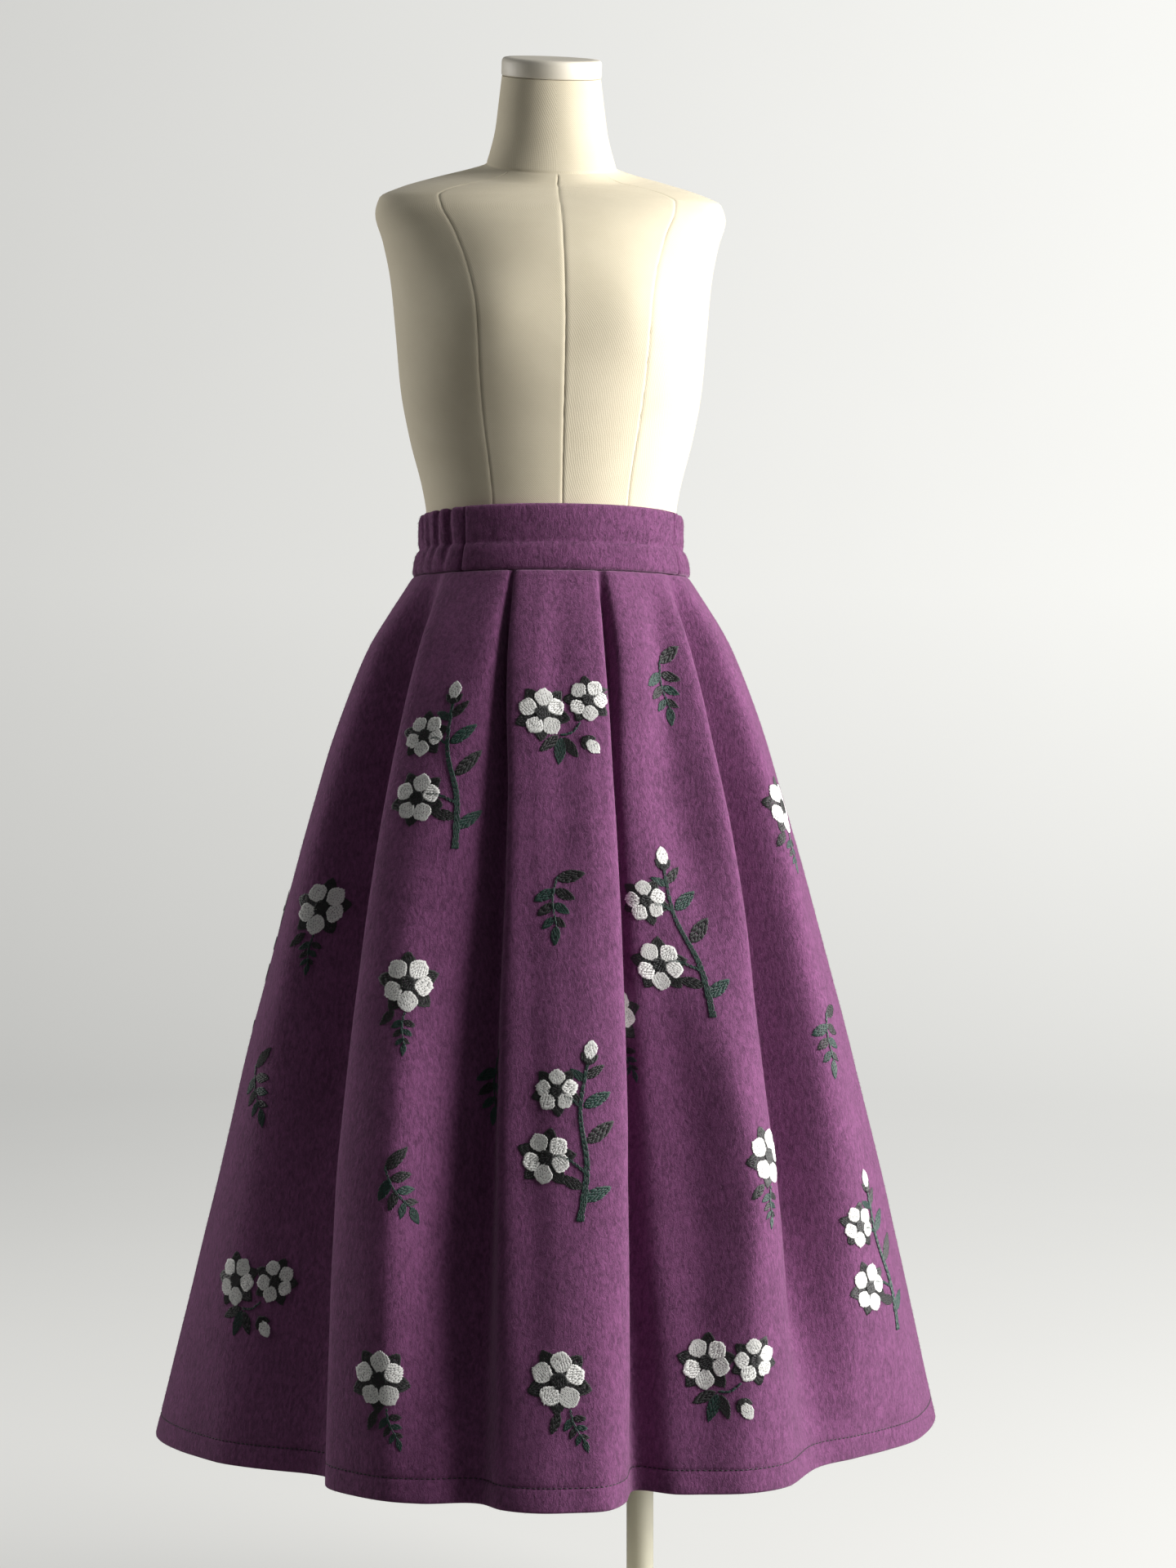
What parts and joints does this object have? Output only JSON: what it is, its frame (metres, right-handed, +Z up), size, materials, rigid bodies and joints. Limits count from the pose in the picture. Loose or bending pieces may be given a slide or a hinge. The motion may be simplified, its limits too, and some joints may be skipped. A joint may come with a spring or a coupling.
{
  "type": "a-line midi skirt on a dress form",
  "caption": "Flared midi skirt in thick brushed wool with deep soft pleats and a padded waistband, on a limbless dress form with a round-plate stand.",
  "frame": {"origin": "middle of the underside of the round base plate, on the surface that the stand rests on and under the middle of the form", "axes": "+Z up, the front of the skirt and form faces -Y, +X to the left side of the skirt as worn"},
  "size_m": [0.726, 0.6206, 1.5056],
  "materials": {
    "plum_fleece": "thick brushed wool fleece with a short matt nap, embroidered in white, black and dark green",
    "form_canvas": "fine cream twill cover with sewn seams",
    "form_cap": "smooth cream cap, satin",
    "stand_paint": "cream powder coat, satin"
  },
  "bodies": {
    "root": {"skirt_front": "plum_fleece", "skirt_back": "plum_fleece", "waistband_front": "plum_fleece", "waistband_back": "plum_fleece", "form_torso": "form_canvas", "neck_cap": "form_cap", "form_flange": "stand_paint", "stand_pole": "stand_paint", "base_socket": "stand_paint", "base_plate": "stand_paint"}
  },
  "joints": []
}
